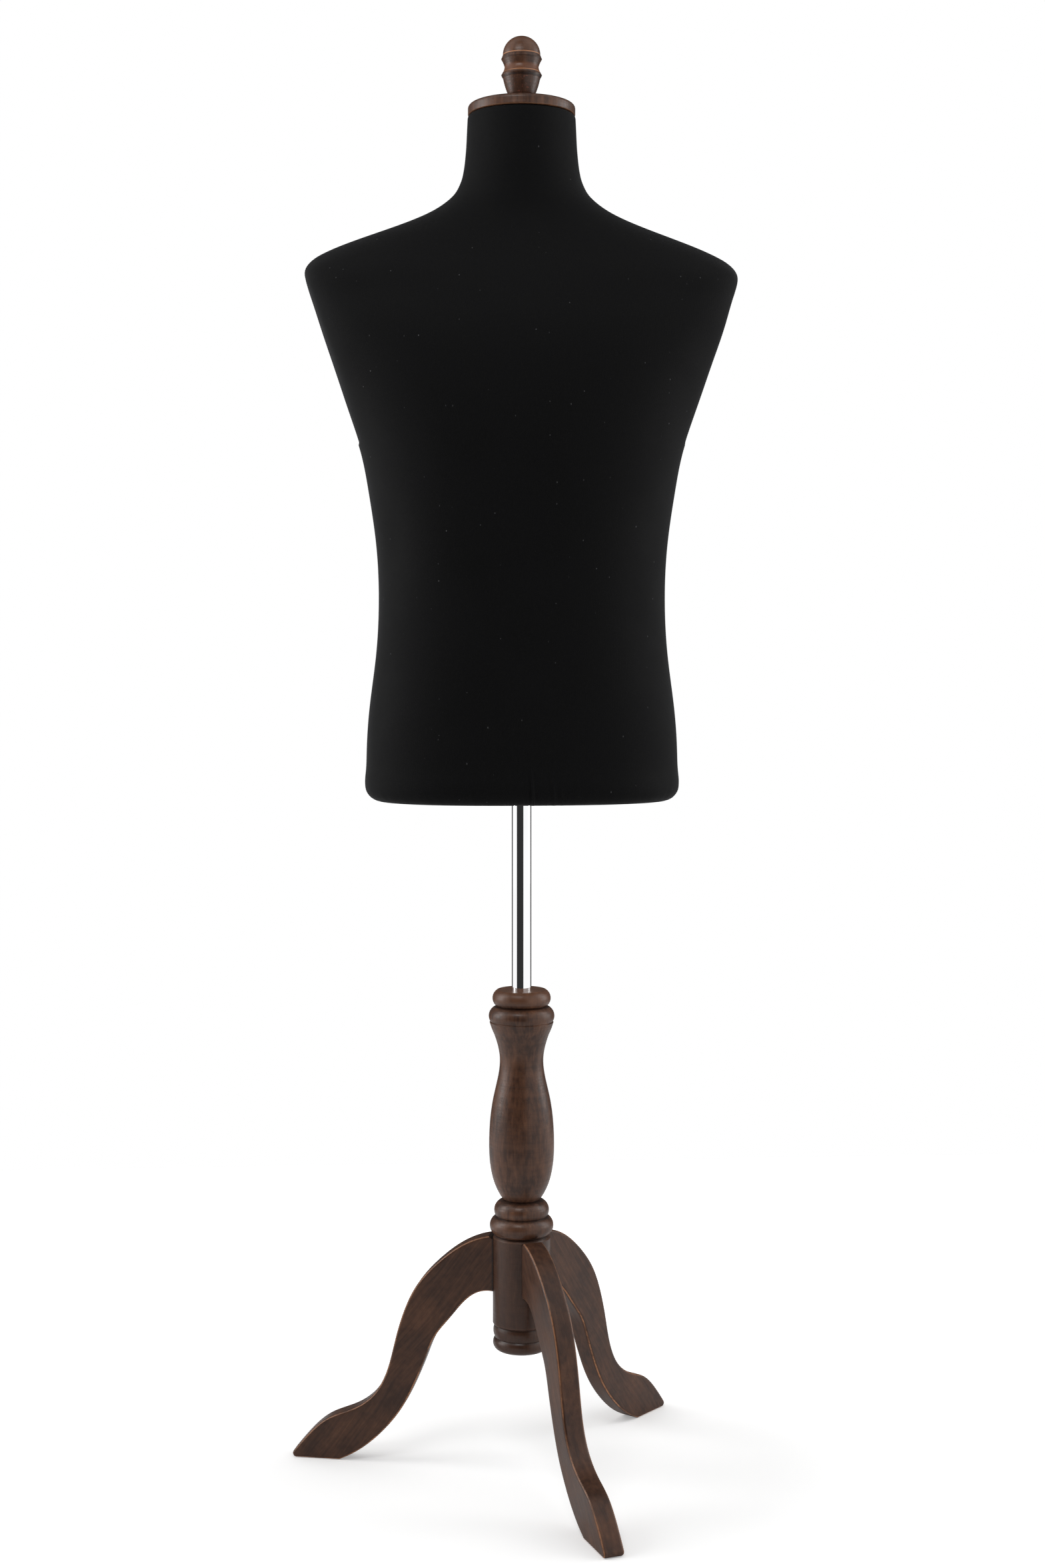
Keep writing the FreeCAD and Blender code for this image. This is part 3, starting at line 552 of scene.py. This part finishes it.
def make_cover():
    """The stretched jersey as one sheet from inside the lower rim to under the cap."""
    rows = cover_rows()
    at = cover_columns()
    shares = np.clip([(z - BOTTOM) / HEIGHT for z, inset in rows], 0, 1)
    levels = natural_curve(LEVELS[:, 0], LEVELS[:, 1:], shares)
    random = np.random.default_rng(7)
    phases = random.uniform(0, 2 * np.pi, 5)
    grid = np.zeros((len(rows), len(at), 3))
    for i, (z, inset) in enumerate(rows):
        flat = outline(levels[i], shares[i], inset, at)
        grid[i, :, :2] = flat
        grid[i, :, 2] = z
    x, y, z = grid[..., 0], grid[..., 1], grid[..., 2]
    outside = np.array([inset < EDGE + 1 for height, inset in rows])[:, None]
    front = (y < -20) & outside & (z < BOTTOM + 60)
    y += np.where(front, pucker(x, z, BOTTOM + 36, (1.8, -0.8), 2.4, 1.2), 0)
    y += np.where(front, pucker(x, z, BOTTOM + 26, (21.0, 19.0), 1.1, 1.8), 0)
    y += np.where(front, pucker(x, z, BOTTOM + 20, (28.5, 27.0), 0.8, 1.8), 0)
    low = np.clip(1 - (z - BOTTOM) / 34, 0, 1) ** 2 * outside
    ripple = sum(np.sin(2 * np.pi * at * n + p) for n, p in zip((23, 37, 53, 71, 97), phases))
    around = np.hypot(x, y)
    x += low * ripple * 0.07 * x / around
    y += low * ripple * 0.07 * y / around
    seam = np.exp(-(x / 0.9) ** 2) - 0.4 * np.exp(-((np.abs(x) - 2.6) / 1.2) ** 2)
    y -= np.where((y > 20) & outside & (z < TOP - 1), 0.55 * seam, 0)

    count = len(at)
    vertices = (grid / 1000).reshape(-1, 3)
    i, j = np.meshgrid(np.arange(len(rows) - 1), np.arange(count), indexing="ij")
    following = (j + 1) % count
    faces = np.stack([i * count + j, i * count + following, (i + 1) * count + following,
                      (i + 1) * count + j], -1).reshape(-1, 4)
    mesh = bpy.data.meshes.new("cover")
    mesh.from_pydata(vertices.tolist(), [], faces.tolist())
    length = np.concatenate([[0], np.cumsum(np.linalg.norm(np.diff(grid[:, 0], axis=0), axis=1))]) / 1000
    u = np.stack([at[j], np.where(following == 0, 1.0, at[following]),
                  np.where(following == 0, 1.0, at[following]), at[j]], -1) * 0.95
    v = np.stack([length[i], length[i], length[i + 1], length[i + 1]], -1)
    layer = mesh.uv_layers.new(name="cloth")
    layer.data.foreach_set("uv", np.stack([u, v], -1).reshape(-1))
    mesh.shade_smooth()
    mesh.materials.append(jersey_material())
    cover = bpy.data.objects.new("cover", mesh)
    scene.collection.objects.link(cover)
    skin = cover.modifiers.new("skin", "SOLIDIFY")
    skin.thickness = 0.0009
    skin.offset = -1.0
    skin.use_even_offset = False
    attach(cover, "torso")
    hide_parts("jersey_cover")
    return cover


def dress_nodes():
    """Materials of every carried-over piece."""
    shared = (
        (steel_material(), ("pole_insert", "column_bolt", "column_washer", "socket_flange",
                            "socket_tube", "flange_screws", "finial_stud", "lock_screw")),
        (plastic_material("black_nylon", (0.020, 0.020, 0.021, 1), (0.030, 0.030, 0.032, 1), 0.45),
         ("pole_glide", "guide_bush", "tube_cap")),
        (plastic_material("knob_plastic", (0.012, 0.012, 0.013, 1), (0.018, 0.018, 0.019, 1), 0.5),
         ("lock_knob",)),
        (foam_material(), ("foam_front", "foam_rear")),
        (pale_wood_material(), ("leg_dowels", "base_board", "neck_block")),
        (column_material(), ("column",)),
        (cap_material(), ("neck_cap",)),
        (finial_material(), ("finial",)),
        (chrome_material(), ("pole",)),
    )
    chosen = {name: material for material, names in shared for name in names}
    for name, bearing in LEG_BEARINGS.items():
        chosen[name] = leg_material(name, bearing)
    for name, material in chosen.items():
        for slot in nodes[name].material_slots:
            slot.material = material


def make_floor():
    """A pale floor that keeps soft shadows round the feet, with painted shadow near the stand, and shows
    as white farther out.
    """
    size = 1.3
    mesh = bpy.data.meshes.new("floor")
    mesh.from_pydata([(-size, -size, 0), (size, -size, 0), (size, size, 0), (-size, size, 0)], [],
                     [(0, 1, 2, 3)])
    floor = bpy.data.objects.new("floor", mesh)
    scene.collection.objects.link(floor)
    floor.location.z = -0.0002
    material = bpy.data.materials.new("pale_floor")
    tree = empty_tree(material)
    output = add_node(tree, "ShaderNodeOutputMaterial")
    matt = add_node(tree, "ShaderNodeBsdfDiffuse")
    matt.inputs[0].default_value = (0.86, 0.86, 0.86, 1)
    lift = add_node(tree, "ShaderNodeEmission")
    ray = add_node(tree, "ShaderNodeLightPath")
    level = add_node(tree, "ShaderNodeMath", operation="MULTIPLY")
    place = add_node(tree, "ShaderNodeTexCoord")
    far = add_node(tree, "ShaderNodeVectorMath", operation="LENGTH")
    # Painted shadow: for camera rays the floor is lifted less within 0.24 m of the stand than beyond
    # 0.60 m, so part of the grey round the feet is painted, not cast
    shadow_pool_lift = add_node(tree, "ShaderNodeMapRange", interpolation_type="SMOOTHSTEP")
    set_inputs(shadow_pool_lift, From_Min=0.24, From_Max=0.60, To_Min=0.29, To_Max=0.62)
    total = add_node(tree, "ShaderNodeAddShader")
    join(tree, (
        (place.outputs["Object"], far.inputs[0]),
        (far.outputs["Value"], shadow_pool_lift.inputs["Value"]),
        (ray.outputs["Is Camera Ray"], level.inputs[0]),
        (shadow_pool_lift.outputs["Result"], level.inputs[1]),
        (level.outputs[0], lift.inputs[1]),
        (matt.outputs[0], total.inputs[0]),
        (lift.outputs[0], total.inputs[1]),
        (total.outputs[0], output.inputs[0]),
    ))
    mesh.materials.append(material)


def sector(tree, direction, bearing, outer, inner, outside, inside):
    """A level of light that changes inside a sector of bearings, all in degrees."""
    angle = math.radians(bearing)
    near = add_node(tree, "ShaderNodeVectorMath", operation="DOT_PRODUCT")
    near.inputs[1].default_value = (math.cos(angle), math.sin(angle), 0)
    level = add_node(tree, "ShaderNodeMapRange", interpolation_type="SMOOTHSTEP")
    set_inputs(level, From_Min=math.cos(math.radians(outer)), From_Max=math.cos(math.radians(inner)),
               To_Min=outside, To_Max=inside)
    join(tree, ((direction, near.inputs[0]), (near.outputs["Value"], level.inputs["Value"])))
    return level.outputs["Result"]


def make_world():
    """A white studio, dark in front; reflections also meet a dark side behind."""
    world = bpy.data.worlds.new("studio")
    scene.world = world
    tree = empty_tree(world)
    output = add_node(tree, "ShaderNodeOutputWorld")
    background = add_node(tree, "ShaderNodeBackground")
    background.inputs[0].default_value = (1, 1, 1, 1)
    place = add_node(tree, "ShaderNodeTexCoord")
    level = add_node(tree, "ShaderNodeVectorMath", operation="MULTIPLY")
    level.inputs[1].default_value = (1, 1, 0)
    unit = add_node(tree, "ShaderNodeVectorMath", operation="NORMALIZE")
    front = sector(tree, unit.outputs[0], 248, 41, 38, 0.68, 0.02)
    behind = sector(tree, unit.outputs[0], 86, 58, 54, 1.0, 0.08)
    ray = add_node(tree, "ShaderNodeLightPath")
    mirrored = add_node(tree, "ShaderNodeMath", operation="MULTIPLY")
    bright = add_node(tree, "ShaderNodeMath", operation="MULTIPLY")
    bright.inputs[1].default_value = 1.5
    glossy = add_node(tree, "ShaderNodeMix", data_type="FLOAT")
    choice = add_node(tree, "ShaderNodeMix", data_type="FLOAT")
    choice.inputs[3].default_value = 1.0
    join(tree, (
        (place.outputs["Generated"], level.inputs[0]),
        (level.outputs[0], unit.inputs[0]),
        (front, mirrored.inputs[0]),
        (behind, mirrored.inputs[1]),
        (mirrored.outputs[0], bright.inputs[0]),
        (ray.outputs["Is Glossy Ray"], glossy.inputs[0]),
        (front, glossy.inputs[2]),
        (bright.outputs[0], glossy.inputs[3]),
        (ray.outputs["Is Camera Ray"], choice.inputs[0]),
        (glossy.outputs[0], choice.inputs[2]),
        (choice.outputs[0], background.inputs[1]),
        (background.outputs[0], output.inputs[0]),
    ))


def make_lamp(name, location, target, size, energy):
    """A soft rectangular lamp."""
    data = bpy.data.lights.new(name, "AREA")
    data.shape = "RECTANGLE"
    data.size, data.size_y = size
    data.energy = energy
    lamp = bpy.data.objects.new(name, data)
    scene.collection.objects.link(lamp)
    lamp.location = location
    lamp.rotation_euler = (Vector(target) - Vector(location)).to_track_quat("-Z", "Y").to_euler()


def make_camera():
    """The camera at the photograph's place: level, at waist height, 4 degrees to the left."""
    data = bpy.data.cameras.new("camera")
    data.sensor_width = 36.0
    data.lens = 49.745
    data.shift_x = 0.0006
    data.shift_y = -0.0867
    camera = bpy.data.objects.new("camera", data)
    scene.collection.objects.link(camera)
    camera.location = (-0.1537, -2.1976, 0.8325)
    camera.rotation_euler = (math.pi / 2, 0, math.radians(-4))
    scene.camera = camera


make_cover()
dress_nodes()
make_floor()
make_world()
make_lamp("left_softbox", (-1.9, 0.20, 1.25), (0, 0, 0.9), (0.8, 1.8), 18)
make_lamp("right_softbox", (1.9, 0.20, 1.25), (0, 0, 0.9), (0.8, 1.8), 12)
make_lamp("front_softbox", (-0.5, -1.2, 2.2), (0, 0, 0.4), (0.9, 0.5), 11)
make_camera()
scene.view_settings.view_transform = "Standard"
